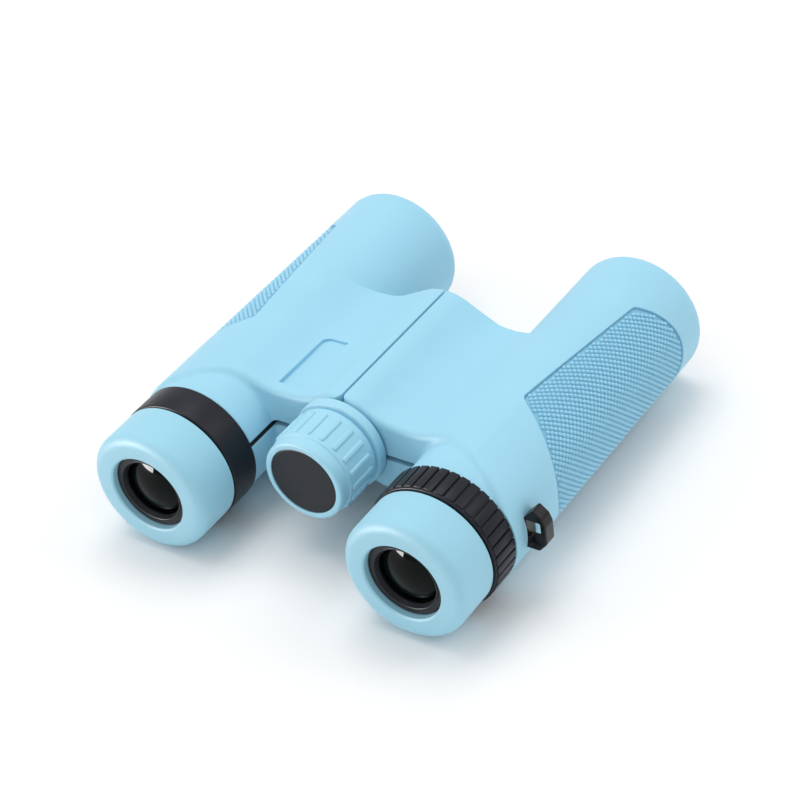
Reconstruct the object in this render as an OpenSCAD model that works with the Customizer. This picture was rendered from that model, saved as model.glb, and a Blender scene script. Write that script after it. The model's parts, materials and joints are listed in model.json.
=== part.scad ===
// Compact roof-prism binoculars: two rubber-covered barrels folding about a central hinge.
// X points right, Y points forwards to the objectives, Z points up. Sizes are in millimetres.
// Places along the barrels are stations: distances forwards from the rims of the eyecups.

/* [Overall] */
// Length from the rims of the eyecups to the front rims
overall_len = 112; // [93:0.1:135]
// Distance between the two optical axes when fully open
ipd_open = 70; // [62:0.5:84]
// Angle from fully open to fully folded
fold_angle = 57; // [40:1:60]
// Height of the hinge axis above the optical axes
hinge_rise = 5.6; // [4:0.1:7]

/* [Barrels] */
// Outer radius of a rubber-covered barrel
barrel_r = 16.6; // [15.6:0.1:20]
// Thickness of the rubber skin
armour_t = 1.6; // [1.2:0.1:2]
// Wall of the hard tube under the skin
tube_wall = 1.8; // [1.4:0.1:2.2]
// How far the neck behind the bridge is stepped in from the barrel
neck_step = 1.1; // [0.6:0.1:1.2]
// Station where the neck begins, in front of the focus ring
neck_s = 21.7; // [19:0.1:24]
// Radial depth of the rounded front rim
nose_depth = 2.8; // [2:0.1:3]
// Length of the rounded front rim
nose_len = 3.5; // [2:0.5:12]

/* [Bridge] */
// Station of the rear face of the bridge
bridge_s = 31.9; // [30:0.1:34]
// Length of the bridge
bridge_len = 46.8; // [42:0.1:60]
// Radius of the skin over the hinge
cover_r = 11.8; // [11:0.1:14]
// Height of the flat top of the bridge above the optical axes
web_rise = 12.8; // [11:0.1:13.5]
// Radius of the hollow between the hinge and the flat top
fillet_r = 22; // [12:0.5:26]
// Width of the seam between the two top flaps
seam_w = 0.3; // [0.2:0.05:0.8]
// Height of the parting slot above the optical axes
slot_rise = 3.1; // [2:0.1:5]
// Height of the parting slot itself
slot_h = 1.5; // [0.8:0.1:2.5]
// Depth of the label recess in the left flap
label_depth = 0.6; // [0.2:0.1:0.8]
// Size of the label recess, across and along
label_size = [6.5, 20]; // [4:0.5:30]
// Distance of the label recess from the hinge and from the bridge's rear face
label_place = [13.5, 3.5]; // [2:0.5:20]

/* [Hinge and focus] */
// Radius of the front hinge pin
pin_r = 2.6; // [2:0.1:3]
// Radius of the focus screw
screw_r = 2.5; // [2:0.1:2.8]
// Wall of the bush round the focus screw
bush_wall = 1.6; // [1:0.1:2]
// Length of the rear knuckle
rear_knuckle = 4.4; // [3:0.1:5]
// Station of the groove in the focus shuttle
shuttle_s = 57; // [54:0.5:60]
// Outer radius of the shuttle's flanges
shuttle_r = 7.2; // [6.2:0.1:7.4]
// Thickness of each flange of the shuttle
flange_t = 2.2; // [1.5:0.1:2.5]
// Thickness of a focus arm
arm_t = 2; // [1.4:0.1:3]
// Height of a focus arm
arm_h = 4; // [3:0.1:5]
// Travel of the focus mechanism each way
focus_travel = 1.5; // [1:0.1:2]
// Thickness of a hinge washer
washer_t = 0.5; // [0.3:0.1:0.8]
// Radius and length of the cap on the front of the hinge
cap_size = [6, 2.1]; // [1:0.1:7]

/* [Focus knob] */
// Station of the knob's rear rim
knob_s = 14.4; // [13:0.1:16]
// Radius of the knob between its ribs
knob_r = 10.9; // [10:0.1:13]
// Height of the knob's ribs
knob_rib_h = 0.45; // [0.3:0.05:0.8]
// Width of one knob rib
knob_rib_w = 1.5; // [1:0.1:2]
// Number of ribs round the knob
knob_ribs = 19; // [12:1:24]
// Length of the knob's rounded rear edge
knob_edge = 3.2; // [2:0.1:4]
// Radius and length of the collar at the front of the knob
collar_size = [11.7, 2.7]; // [2:0.1:12]
// Radius and thickness of the black disc set in the knob
disc_size = [8.85, 1]; // [0.8:0.05:9.5]
// Air between the knob and the bridge
knob_air = 0.6; // [0.4:0.1:1]

/* [Eyepieces] */
// Station of the peg that drives the lens behind the focus ring
drive_s = 17; // [16.6:0.1:17.4]
// Wall left between the eyepiece tube and the tube round it
eyepiece_inset = 0.8; // [0.4:0.1:1.2]
// Wall of the sleeve that carries an eyecup
sleeve_wall = 1.1; // [0.8:0.1:1.4]
// Wall of an eyecup
cup_wall = 2.2; // [1.8:0.1:2.6]
// Length of an eyecup
cup_len = 12.8; // [11:0.1:13.2]
// Thickness of the face of an eyecup
cup_face = 3.4; // [2.5:0.1:3.6]
// Radius of the rounded outer edge of an eyecup
cup_edge = 3; // [1.5:0.1:3.3]
// Travel of an eyecup as it twists out
cup_travel = 6; // [4:0.5:6.5]
// Radius of the small rear end of the eyepiece tube
snout_r = 9.7; // [9.2:0.1:10]
// Clear radius of the eye lens
eye_clear_r = 7.5; // [6.5:0.1:8]
// Radius of the eye lens
eye_lens_r = 8.5; // [8.2:0.1:8.7]
// Radius of the field lens
field_lens_r = 9; // [8:0.1:9.2]
// Height of the ribs of the focus ring on the right eyepiece
ring_rib_h = 0.5; // [0.3:0.05:0.8]
// Number of ribs round that ring
ring_ribs = 38; // [30:1:42]
// Width of one rib of that ring
ring_rib_w = 2.2; // [1.2:0.1:2.3]
// Travel of its lens each way
diopter_travel = 1; // [0.5:0.1:1.5]

/* [Optics] */
// Thickness of an objective lens
objective_t = 5; // [4:0.5:7]
// Distance from the front rims to the objective retaining ring
objective_recess = 5; // [4:0.1:8]
// How much wider the mouth in front of that ring is than the tube behind it
mouth_step = 0.3; // [0.2:0.05:0.4]
// Half the width of a prism
prism_half_w = 8; // [6:0.1:8.2]
// Half the height of a prism
prism_half_h = 8.4; // [6:0.1:8.6]
// Length of the prism pair
prism_len = 18; // [14:0.5:18.5]

/* [Strap lug] */
// How far the lug stands out from the skin
lug_out = 4.3; // [3.8:0.1:8]
// Height of the strap hole
lug_hole_h = 6; // [5:0.1:8]
// Thickness of the lug above and below the hole
lug_bar = 2; // [1.6:0.1:3]
// Thickness of the lug outside the hole
lug_rail = 1.5; // [1:0.1:2]
// Station of the middle of the lug
lug_s = 28; // [26:0.5:29]
// Depth of the lug along the barrel
lug_depth = 3.6; // [2.5:0.1:4.5]

/* [Clearances] */
// Radial clearance of everything that turns or slides
run_gap = 0.05; // [0.02:0.01:0.08]
// Radial clearance of everything that is fixed in its seat
seat_gap = 0.03; // [0.01:0.01:0.06]
// Clearance between the skin and the hard body
skin_gap = 0.05; // [0.02:0.01:0.1]

/* [Hidden] */
$fn = 96;
half_ipd = ipd_open / 2;
axis_z = barrel_r;
hinge_z = axis_z + hinge_rise;
rear_y = -overall_len / 2;
top_z = axis_z + web_rise;
under_z = hinge_z - cover_r;
fillet_z = top_z + fillet_r;
fillet_x = sqrt(pow(cover_r + fillet_r, 2) - pow(fillet_z - hinge_z, 2));
fillet_share = cover_r / (cover_r + fillet_r);
bridge_end = bridge_s + bridge_len;
gap_half = (fold_angle + 5) / 2;
far = 80;
// radii outwards from the optical axis
tube_r = barrel_r - armour_t - skin_gap;
bore_r = barrel_r - armour_t - tube_wall;
eyepiece_r = bore_r - eyepiece_inset;
rear_bore_r = eyepiece_r + seat_gap;
sleeve_r = eyepiece_r + run_gap + sleeve_wall;
cup_bore_r = sleeve_r + run_gap;
cup_r = cup_bore_r + cup_wall;
band_r = cup_r + 0.2;
neck_r = barrel_r - neck_step;
fixed_r = bore_r - seat_gap;
carrier_r = bore_r - run_gap;
ocular_bore_r = eyepiece_r - 2;
cell_r = ocular_bore_r - run_gap;
objective_r = bore_r - 1.2;
focus_lens_r = bore_r - 2.6;
// stations
sleeve_s = cup_len - cup_travel - 2.2;
band_s = cup_len + 0.3;
band_end = neck_s - 0.15;
step_s = bridge_s - 0.9;
eyepiece_end = bridge_s - 0.8;
holder_s = bridge_s + 0.9;
holder_wall = 1.6;
holder_end = holder_s + prism_len + 2 * holder_wall + 0.4;
objective_end = overall_len - objective_recess - 1.8;
cell_s = objective_end - objective_t - 6;
body_end = overall_len - armour_t - skin_gap;
// hinge stations
knuckle_r = cover_r - armour_t - 0.65;
joint_gap = washer_t + 0.1;
hinge_s = bridge_s + armour_t + skin_gap;
hinge_end = bridge_end - armour_t - skin_gap;
groove_w = arm_t + 2 * run_gap;
shuttle_half = groove_w / 2 + flange_t;
cavity_half = shuttle_half + focus_travel + 1.1;
cavity_r = shuttle_r + 0.7;
bearing_end = shuttle_s + cavity_half + 2;
left_1 = [hinge_s + rear_knuckle + joint_gap, bearing_end + 2];
front_len = (hinge_end - left_1[1] - 2 * joint_gap) / 2;
right_1 = [hinge_s, hinge_s + rear_knuckle];
right_2 = [left_1[1] + joint_gap, left_1[1] + joint_gap + front_len];
left_2 = [right_2[1] + joint_gap, hinge_end];
bush_r = screw_r + run_gap + bush_wall;
window_h = arm_h + 1;
window_half = arm_t / 2 + focus_travel + 0.5;
guide_r = 0.9;
guide_offset = (shuttle_r + screw_r) / 2 + 0.9;
knob_end = bridge_s - knob_air;
lug_end = barrel_r + lug_out;

// ---- shared shapes ----

// Puts a shape that is made about Z, from a station of 0, on the axis of one barrel.
module on_barrel(side) {
    translate([side * half_ipd, rear_y, axis_z]) rotate([-90, 0, 0]) children();
}

// The same, on the axis of the hinge.
module on_hinge() {
    translate([0, rear_y, hinge_z]) rotate([-90, 0, 0]) children();
}

// Turns an outline of [radius, station] points round a barrel's axis.
module turned(side) {
    on_barrel(side) rotate_extrude() children();
}

// A ring between two radii and two stations.
module ring(inner, outer, from, to) {
    rotate_extrude() polygon([[inner, from], [outer, from], [outer, to], [inner, to]]);
}

// A rod between two stations.
module rod(r, from, to) {
    translate([0, 0, from]) cylinder(r = r, h = to - from);
}

// Extrudes an outline drawn across the binoculars (X, Z) between two stations.
module slab(from, to) {
    translate([0, rear_y + to, 0]) rotate([90, 0, 0]) linear_extrude(to - from) children();
}

// A box between two corners given as [x, station, z].
module block(low, high) {
    translate([low[0], rear_y + low[1], low[2]]) cube(high - low);
}

// Shows a right-hand shape on the chosen side.
module on_side(side) {
    if (side > 0) children();
    else mirror([1, 0, 0]) children();
}

// Half outline of a lens face: sag is how far its middle stands past its edge.
function lens_face(r, edge, sag) = [for (i = [0:8]) [r * i / 8, edge + sag * (1 - pow(i / 8, 2))]];
function backwards(points) = [for (i = [len(points) - 1:-1:0]) points[i]];

module lens(side, r, from, to, rear_sag, front_sag) {
    turned(side) polygon(concat(lens_face(r, from, -rear_sag), backwards(lens_face(r, to, front_sag))));
}

// The part of the space round the hinge that belongs to the right half.
module own_sector() {
    polygon([
        [seam_w / 2, hinge_z], [seam_w / 2, hinge_z + far], [2 * far, hinge_z + far],
        [2 * far, hinge_z - far], [far * tan(gap_half), hinge_z - far]
    ]);
}

// Section of the right half of the bridge, drawn in from its surface by inset.
module bridge_section(inset) {
    intersection() {
        own_sector();
        union() {
            translate([0, hinge_z]) circle(cover_r - inset);
            translate([0, under_z + inset]) square([half_ipd, top_z - under_z - 2 * inset]);
            difference() {
                polygon([
                    [0, hinge_z], [fillet_x, hinge_z], [fillet_x, top_z],
                    [fillet_x * fillet_share, hinge_z + (fillet_z - hinge_z) * fillet_share]
                ]);
                translate([fillet_x, fillet_z]) circle(fillet_r + inset, $fn = 180);
            }
        }
    }
}

// ---- the two halves ----

// Outline of the rubber skin of a barrel, with the neck and the rounded front rim.
function nose(n) = [for (i = [0:n]) [
    barrel_r - nose_depth + nose_depth * cos(90 * i / n),
    overall_len - nose_len + nose_len * sin(90 * i / n)
]];

module barrel_outline() {
    polygon(concat(
        [[0, neck_s], [neck_r, neck_s], [neck_r, step_s - 3], [barrel_r, step_s]],
        nose(12),
        [[0, overall_len]]
    ));
}

module knuckles(ranges) {
    for (range = ranges) on_hinge() rod(knuckle_r, range[0], range[1]);
}

module knuckle_room(ranges) {
    for (range = ranges)
        on_hinge() rod(cover_r - armour_t, range[0] - joint_gap, range[1] + joint_gap);
}

// Path that the right focus arm sweeps through the hinge as the halves fold.
module arm_sweep() {
    reach = cover_r + 4;
    spread = asin(min(0.9, window_h / 2 / (cavity_r - 1)));
    stops = [for (i = [0:4]) spread - i * (fold_angle + 2 * spread) / 4];
    slab(shuttle_s - window_half, shuttle_s + window_half)
        translate([0, hinge_z]) polygon(concat([[0, 0]], [for (a = stops) reach * [cos(a), sin(a)]]));
}

module lug_seat(gap) {
    half = [lug_depth / 2 + gap, lug_hole_h / 2 + lug_bar + gap];
    block(
        [half_ipd + tube_r - 0.9 - gap, lug_s - half[0], axis_z - half[1] + 1],
        [half_ipd + barrel_r + far / 40, lug_s + half[0], axis_z + half[1] + 1]
    );
}

module chassis_hull(side) {
    difference() {
        union() {
            on_barrel(side) rod(tube_r, neck_s + skin_gap, body_end);
            on_side(side) slab(hinge_s, hinge_end) bridge_section(armour_t + skin_gap);
        }
        on_barrel(side) rod(bore_r, eyepiece_end, overall_len);
        on_barrel(side) rod(rear_bore_r, neck_s - 1, overall_len);
        on_barrel(side) rod(bore_r + mouth_step, overall_len - objective_recess, overall_len);
    }
}

module arm_window(side) {
    on_side(side) block(
        [1, shuttle_s - window_half, hinge_z - window_h / 2],
        [half_ipd - bore_r + 3, shuttle_s + window_half, hinge_z + window_h / 2]
    );
}

module left_chassis() {
    color([0.12, 0.12, 0.13]) difference() {
        union() {
            difference() {
                chassis_hull(-1);
                knuckle_room([right_1, right_2]);
            }
            difference() {
                knuckles([left_1, left_2]);
                on_barrel(-1) rod(tube_r - 0.5, 0, overall_len);
            }
        }
        on_hinge() rod(cavity_r, shuttle_s - cavity_half, shuttle_s + cavity_half);
        on_hinge() rod(bush_r + seat_gap, hinge_s - 1, shuttle_s);
        on_hinge() rod(screw_r + run_gap, shuttle_s, bearing_end + 0.01);
        on_hinge() rod(pin_r + seat_gap, bearing_end, bridge_end);
        guide_rod(guide_r + seat_gap, 0);
        arm_window(-1);
        arm_sweep();
    }
}

module right_chassis() {
    color([0.12, 0.12, 0.13]) difference() {
        union() {
            difference() {
                chassis_hull(1);
                knuckle_room([left_1, left_2]);
            }
            knuckles([right_1, right_2]);
        }
        on_hinge() rod(bush_r + run_gap, hinge_s - 1, shuttle_s);
        on_hinge() rod(pin_r + run_gap, shuttle_s, bridge_end);
        arm_window(1);
        lug_seat(seat_gap);
    }
}

module armour(side) {
    color([0.47, 0.78, 0.9]) difference() {
        union() {
            turned(side) barrel_outline();
            on_side(side) slab(bridge_s, bridge_end) bridge_section(0);
        }
        on_barrel(side) rod(tube_r + skin_gap, neck_s - 1, body_end + skin_gap);
        on_barrel(side) rod(bore_r + mouth_step, neck_s, overall_len + 1);
        on_side(side) slab(hinge_s - skin_gap, hinge_end + skin_gap) bridge_section(armour_t);
        on_hinge() rod(bush_r + 2, 0, hinge_s);
        on_hinge() rod(cap_size[0] + 0.1, hinge_end - 0.1, overall_len);
        parting_slot(side);
        if (side > 0) lug_seat(0.1);
        else label_recess();
    }
}

// Slot in the rear face of the bridge and along the neck, where the hard body shows.
module parting_slot(side) {
    on_side(side) block(
        [cover_r - 3, neck_s - 1, axis_z + slot_rise],
        [half_ipd - tube_r + 1.5, hinge_s + 0.01, axis_z + slot_rise + slot_h]
    );
}

module label_recess() {
    block(
        [-label_place[0] - label_size[0], bridge_s + label_place[1], top_z - label_depth],
        [-label_place[0], bridge_s + label_place[1] + label_size[1], top_z + far]
    );
}

module strap_lug() {
    low = -lug_hole_h / 2 - lug_bar + 1;
    high = lug_hole_h / 2 + lug_bar + 1;
    hole_x = barrel_r + 0.2;
    color([0.06, 0.06, 0.065]) slab(lug_s - lug_depth / 2, lug_s + lug_depth / 2)
        translate([half_ipd, axis_z]) difference() {
            polygon([
                [tube_r - 0.9, low], [lug_end - 1.3, low], [lug_end, low + 1.6], [lug_end, high - 1.6],
                [lug_end - 0.7, high - 0.6], [lug_end - 3.1, high + 1.2], [barrel_r - 0.6, high],
                [tube_r - 0.9, high]
            ]);
            translate([hole_x, 1 - lug_hole_h / 2]) square([lug_end - lug_rail - hole_x, lug_hole_h]);
        }
}

// ---- eyepieces ----

module eyepiece_tube(side) {
    color([0.07, 0.07, 0.075]) difference() {
        turned(side) polygon([
            [snout_r, 1.6], [snout_r, sleeve_s - 0.2], [eyepiece_r, sleeve_s - 0.2], [eyepiece_r, eyepiece_end],
            [ocular_bore_r, eyepiece_end], [ocular_bore_r, 12],
            [eye_lens_r + seat_gap, 12], [eye_lens_r + seat_gap, 1.6]
        ]);
        if (side > 0) drive_slot();
    }
}

// Slot for the peg that drives the lens behind the focus ring of the right eyepiece.
module drive_slot() {
    half = diopter_travel + 1.1;
    block(
        [half_ipd - 1.05, drive_s - half, axis_z + ocular_bore_r - 1],
        [half_ipd + 1.05, drive_s + half, axis_z + eyepiece_r + 1]
    );
}

module eye_ring(side) {
    r = eye_lens_r - seat_gap;
    color([0.05, 0.05, 0.055]) turned(side) polygon([
        [r, 1.5], [r, 3], [eye_clear_r, 3], [eye_clear_r, 2.5], [eye_clear_r + 0.5, 1.5]
    ]);
}

module eye_lens(side) {
    color([0.1, 0.25, 0.22]) lens(side, eye_lens_r, 3.9, 7.2, 0.8, 1.2);
}

module field_lens(side) {
    color([0.3, 0.45, 0.42]) lens(side, field_lens_r, 15.75, 18.3, 0.9, 0.9);
}

// Ring that holds the field lens; a lip at its rear keeps the lens in.
module field_cell(side, r) {
    turned(side) polygon([
        [field_lens_r - 1, 14.4], [r, 14.4], [r, 19.6], [field_lens_r + seat_gap, 19.6],
        [field_lens_r + seat_gap, 15.5], [field_lens_r - 1, 15.5]
    ]);
}

module left_field_cell() {
    color([0.1, 0.1, 0.1]) field_cell(-1, ocular_bore_r - seat_gap);
}

module right_diopter_cell() {
    color([0.1, 0.1, 0.1]) union() {
        field_cell(1, cell_r);
        translate([half_ipd, rear_y + drive_s, axis_z + cell_r - 0.5])
            cylinder(r = 0.9, h = eyepiece_r + 0.9 - cell_r + 0.5);
    }
}

module field_stop(side) {
    color([0.05, 0.05, 0.05]) turned(side) polygon([
        [6, 24.6], [6.4, 24], [ocular_bore_r - seat_gap, 24],
        [ocular_bore_r - seat_gap, 26], [6, 26]
    ]);
}

// Sleeve that turns on the eyepiece tube; its keys turn the eyecup with it.
module eyecup_sleeve(side) {
    color([0.08, 0.08, 0.085]) union() {
        on_barrel(side) ring(eyepiece_r + run_gap, sleeve_r, sleeve_s, cup_len);
        keys(side, 0, cup_len);
    }
}

module keys(side, gap, end) {
    for (turn = [0:120:240]) on_barrel(side) rotate(turn)
        translate([sleeve_r - 0.4, -1 - gap, sleeve_s - gap])
            cube([1 + gap, 2 + 2 * gap, end - sleeve_s + gap]);
}

module eyecup(side) {
    rim = cup_r - cup_edge;
    edge = [for (i = [0:8]) [rim + cup_edge * sin(90 * i / 8), cup_edge * (1 - cos(90 * i / 8))]];
    color([0.56, 0.82, 0.92]) difference() {
        turned(side) polygon(concat(
            [[snout_r + 0.2, cup_face], [snout_r + 0.2, 0.5], [snout_r + 0.6, 0]], edge,
            [[cup_r, cup_len], [cup_bore_r, cup_len], [cup_bore_r, cup_face]]
        ));
        keys(side, 0.1, cup_len + 1);
    }
}

module left_band() {
    color([0.16, 0.16, 0.17]) turned(-1) polygon([
        [eyepiece_r + seat_gap, band_s], [band_r - 0.4, band_s], [band_r, band_s + 0.4],
        [band_r, band_end - 0.4], [band_r - 0.4, band_end], [eyepiece_r + seat_gap, band_end]
    ]);
}

module right_diopter_ring() {
    room = diopter_travel + 1.2;
    color([0.14, 0.14, 0.15]) union() {
        turned(1) polygon([
            [eyepiece_r + run_gap, band_s], [band_r - 0.2, band_s], [band_r, band_s + 0.4],
            [band_r, band_end - 0.4], [band_r - 0.2, band_end], [eyepiece_r + run_gap, band_end],
            [eyepiece_r + run_gap, drive_s + room], [eyepiece_r + 1.2, drive_s + room],
            [eyepiece_r + 1.2, drive_s - room], [eyepiece_r + run_gap, drive_s - room]
        ]);
        for (i = [1:ring_ribs]) on_barrel(1) rotate(360 * i / ring_ribs)
            translate([band_r - 0.5, -ring_rib_w / 2, band_s + 0.3])
                cube([ring_rib_h + 0.5, ring_rib_w, band_end - band_s - 0.6]);
    }
}

// ---- prisms and lenses ----

// Extrudes an outline of [station, height] points across one barrel.
module across(side, half_w) {
    translate([side * half_ipd - half_w, rear_y, axis_z]) rotate([90, 0, 90])
        linear_extrude(2 * half_w) children();
}

prism_s = holder_s + holder_wall + 0.2;
prism_lean = prism_half_h * tan(22.5);

module roof_prism(side) {
    mid = prism_s + prism_len / 2;
    color([0.75, 0.85, 0.85]) across(side, prism_half_w) polygon([
        [prism_s, -prism_half_h + 2], [prism_s + 2, -prism_half_h], [mid - prism_lean - 0.15, -prism_half_h],
        [mid + prism_lean - 0.15, prism_half_h], [prism_s + 3, prism_half_h], [prism_s, prism_half_h - 3]
    ]);
}

module half_penta_prism(side) {
    mid = prism_s + prism_len / 2;
    end = prism_s + prism_len;
    color([0.75, 0.85, 0.85]) across(side, prism_half_w) polygon([
        [mid - prism_lean + 0.15, -prism_half_h], [end - 4, -prism_half_h], [end, -prism_half_h + 4],
        [end, prism_half_h], [mid + prism_lean + 0.15, prism_half_h]
    ]);
}

module prism_holder(side) {
    clear = [prism_half_w + 0.2, prism_half_h + 0.2];
    color([0.1, 0.1, 0.11]) difference() {
        on_barrel(side) rod(fixed_r, holder_s, holder_end);
        across(side, clear[0]) polygon([
            [holder_s + holder_wall, -clear[1]], [holder_end - holder_wall, -clear[1]],
            [holder_end - holder_wall, clear[1] + 0.8], [holder_s + holder_wall, clear[1] + 0.8]
        ]);
        on_barrel(side) rod(6.8, holder_s - 1, holder_end + 1);
    }
}

// Leaf spring that holds the two prisms down in their holder.
module prism_clip(side) {
    low = prism_half_h + 0.05;
    color([0.75, 0.76, 0.78]) across(side, 3) polygon([
        [prism_s + 2, low], [prism_s + prism_len - 2, low], [prism_s + prism_len - 2, low + 0.4],
        [prism_s + prism_len / 2, low + 0.8], [prism_s + 2, low + 0.4]
    ]);
}

module focus_carrier(side) {
    lens_seat_r = focus_lens_r + seat_gap;
    reach = sqrt(pow(carrier_r, 2) - pow(hinge_rise + arm_h / 2, 2)) - 0.6;
    color([0.16, 0.16, 0.17]) union() {
        turned(side) polygon([
            [focus_lens_r - 0.9, shuttle_s - arm_t / 2], [carrier_r, shuttle_s - arm_t / 2],
            [carrier_r, shuttle_s + 4.6], [lens_seat_r, shuttle_s + 4.6],
            [lens_seat_r, shuttle_s + 0.6], [focus_lens_r - 0.9, shuttle_s + 0.6]
        ]);
        on_side(side) block(
            [screw_r + 2.9, shuttle_s - arm_t / 2, hinge_z - arm_h / 2],
            [half_ipd - reach, shuttle_s + arm_t / 2, hinge_z + arm_h / 2]
        );
    }
}

module focus_lens(side) {
    color([0.35, 0.5, 0.5]) lens(side, focus_lens_r, shuttle_s + 0.6, shuttle_s + 3.6, -0.7, -0.5);
}

module objective_cell(side) {
    color([0.09, 0.09, 0.1]) turned(side) polygon([
        [objective_r - 0.9, cell_s], [fixed_r, cell_s], [fixed_r, objective_end],
        [objective_r + seat_gap, objective_end], [objective_r + seat_gap, objective_end - objective_t],
        [objective_r - 0.9, objective_end - objective_t]
    ]);
}

module objective_lens(side) {
    color([0.35, 0.45, 0.6]) lens(side, objective_r, objective_end - objective_t, objective_end - 1, 0, 0.9);
}

module objective_ring(side) {
    color([0.07, 0.07, 0.075]) turned(side) polygon([
        [objective_r - 0.3, objective_end + 0.1], [fixed_r, objective_end + 0.1],
        [fixed_r, objective_end + 1.8], [objective_r + 0.5, objective_end + 1.8]
    ]);
}

// ---- hinge and focus mechanism ----

module guide_rod(r, inset) {
    on_hinge() rotate(-45) translate([0, -guide_offset, 0])
        rod(r, shuttle_s - cavity_half - 1.8 + inset, shuttle_s + cavity_half + 1.4 - inset);
}

module hinge_guide_pin() {
    color([0.7, 0.71, 0.73]) guide_rod(guide_r, 0.1);
}

module hinge_pin() {
    color([0.7, 0.71, 0.73]) on_hinge() rod(pin_r, bearing_end + 0.1, hinge_end);
}

module hinge_bush() {
    color([0.8, 0.66, 0.35]) on_hinge()
        ring(screw_r + run_gap, bush_r, hinge_s, shuttle_s - cavity_half - 0.2);
}

module hinge_washers() {
    edge = (joint_gap - washer_t) / 2;
    color([0.9, 0.9, 0.86]) on_hinge() {
        ring(bush_r + 0.1, knuckle_r - 0.6, right_1[1] + edge, left_1[0] - edge);
        ring(pin_r + 0.1, knuckle_r - 0.6, left_1[1] + edge, right_2[0] - edge);
        ring(pin_r + 0.1, knuckle_r - 0.6, right_2[1] + edge, left_2[0] - edge);
    }
}

module hinge_cap() {
    end = hinge_end + 0.05 + cap_size[1];
    color([0.07, 0.07, 0.075]) on_hinge() rotate_extrude() polygon([
        [0, hinge_end + 0.05], [cap_size[0], hinge_end + 0.05], [cap_size[0], end - 0.5],
        [cap_size[0] - 0.5, end], [0, end]
    ]);
}

module knob_seal() {
    color([0.05, 0.05, 0.05]) on_hinge()
        ring(screw_r + 0.4, bush_r + 1.8, knob_end + 0.15, hinge_s - 0.1);
}

module focus_knob() {
    collar_s = knob_end - collar_size[1];
    rim_r = disc_size[0] + seat_gap;
    edge_w = knob_r - rim_r - 0.4;
    edge = [for (i = [0:8]) let (a = 90 * i / 8)
        [rim_r + 0.4 + edge_w * sin(a), knob_s + knob_edge * (1 - cos(a))]];
    color([0.56, 0.82, 0.92]) union() {
        on_hinge() rotate_extrude() polygon(concat(
            [[rim_r, knob_s + 0.2]], edge,
            [
                [knob_r, collar_s - 0.5], [knob_r - 0.4, collar_s - 0.5], [knob_r - 0.4, collar_s],
                [collar_size[0] - 0.3, collar_s], [collar_size[0], collar_s + 0.4],
                [collar_size[0], knob_end], [rim_r, knob_end]
            ]
        ));
        for (i = [1:knob_ribs]) on_hinge() rotate(360 * i / knob_ribs)
            translate([knob_r - 0.5, -knob_rib_w / 2, knob_s + knob_edge + 1])
                cube([0.5 + knob_rib_h, knob_rib_w, collar_s - knob_s - knob_edge - 2.2]);
    }
}

module knob_disc() {
    color([0.17, 0.19, 0.21]) on_hinge() rod(disc_size[0], knob_s + 0.2, knob_s + 0.2 + disc_size[1]);
}

module knob_hub() {
    seat = knob_s + 0.2 + disc_size[1] + 0.05;
    color([0.12, 0.12, 0.13]) on_hinge() difference() {
        rod(disc_size[0], seat, knob_end);
        rod(screw_r + seat_gap, seat + 3.2, overall_len);
        rod(3, seat - 1, seat + 2);
        rod(1.3, seat, seat + 4);
    }
}

module knob_screw() {
    seat = knob_s + 0.2 + disc_size[1] + 0.05;
    color([0.7, 0.71, 0.73]) on_hinge() difference() {
        union() {
            rod(2.5, seat + 0.2, seat + 2);
            rod(1.2, seat + 1, seat + 9);
        }
        translate([-0.4, -3, seat]) cube([0.8, 6, 1]);
    }
}

module focus_screw() {
    seat = knob_s + 0.2 + disc_size[1] + 0.05;
    color([0.78, 0.79, 0.8]) on_hinge() difference() {
        rod(screw_r, seat + 3.25, bearing_end - 0.2);
        rod(1.25, seat, seat + 9.5);
    }
}

module focus_shuttle() {
    color([0.8, 0.66, 0.35]) difference() {
        on_hinge() rotate_extrude() polygon([
            [screw_r + run_gap, shuttle_s - shuttle_half], [shuttle_r, shuttle_s - shuttle_half],
            [shuttle_r, shuttle_s - groove_w / 2], [screw_r + 1.8, shuttle_s - groove_w / 2],
            [screw_r + 1.8, shuttle_s + groove_w / 2], [shuttle_r, shuttle_s + groove_w / 2],
            [shuttle_r, shuttle_s + shuttle_half], [screw_r + run_gap, shuttle_s + shuttle_half]
        ]);
        guide_rod(guide_r + run_gap, 0);
    }
}

left_chassis();
armour(-1);  // left_armour
left_band();
eyepiece_tube(-1);  // left_eyepiece_tube
eye_lens(-1);  // left_eye_lens
eye_ring(-1);  // left_eye_ring
field_lens(-1);  // left_field_lens
left_field_cell();
field_stop(-1);  // left_field_stop
eyecup_sleeve(-1);  // left_eyecup_sleeve
eyecup(-1);  // left_eyecup
prism_holder(-1);  // left_prism_holder
roof_prism(-1);  // left_roof_prism
half_penta_prism(-1);  // left_half_penta_prism
prism_clip(-1);  // left_prism_clip
focus_carrier(-1);  // left_focus_carrier
focus_lens(-1);  // left_focus_lens
objective_cell(-1);  // left_objective_cell
objective_lens(-1);  // left_objective_lens
objective_ring(-1);  // left_objective_ring
right_chassis();
armour(1);  // right_armour
strap_lug();  // right_strap_lug
right_diopter_ring();
eyepiece_tube(1);  // right_eyepiece_tube
eye_lens(1);  // right_eye_lens
eye_ring(1);  // right_eye_ring
field_lens(1);  // right_field_lens
right_diopter_cell();
field_stop(1);  // right_field_stop
eyecup_sleeve(1);  // right_eyecup_sleeve
eyecup(1);  // right_eyecup
prism_holder(1);  // right_prism_holder
roof_prism(1);  // right_roof_prism
half_penta_prism(1);  // right_half_penta_prism
prism_clip(1);  // right_prism_clip
focus_carrier(1);  // right_focus_carrier
focus_lens(1);  // right_focus_lens
objective_cell(1);  // right_objective_cell
objective_lens(1);  // right_objective_lens
objective_ring(1);  // right_objective_ring
hinge_pin();
hinge_bush();
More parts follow.
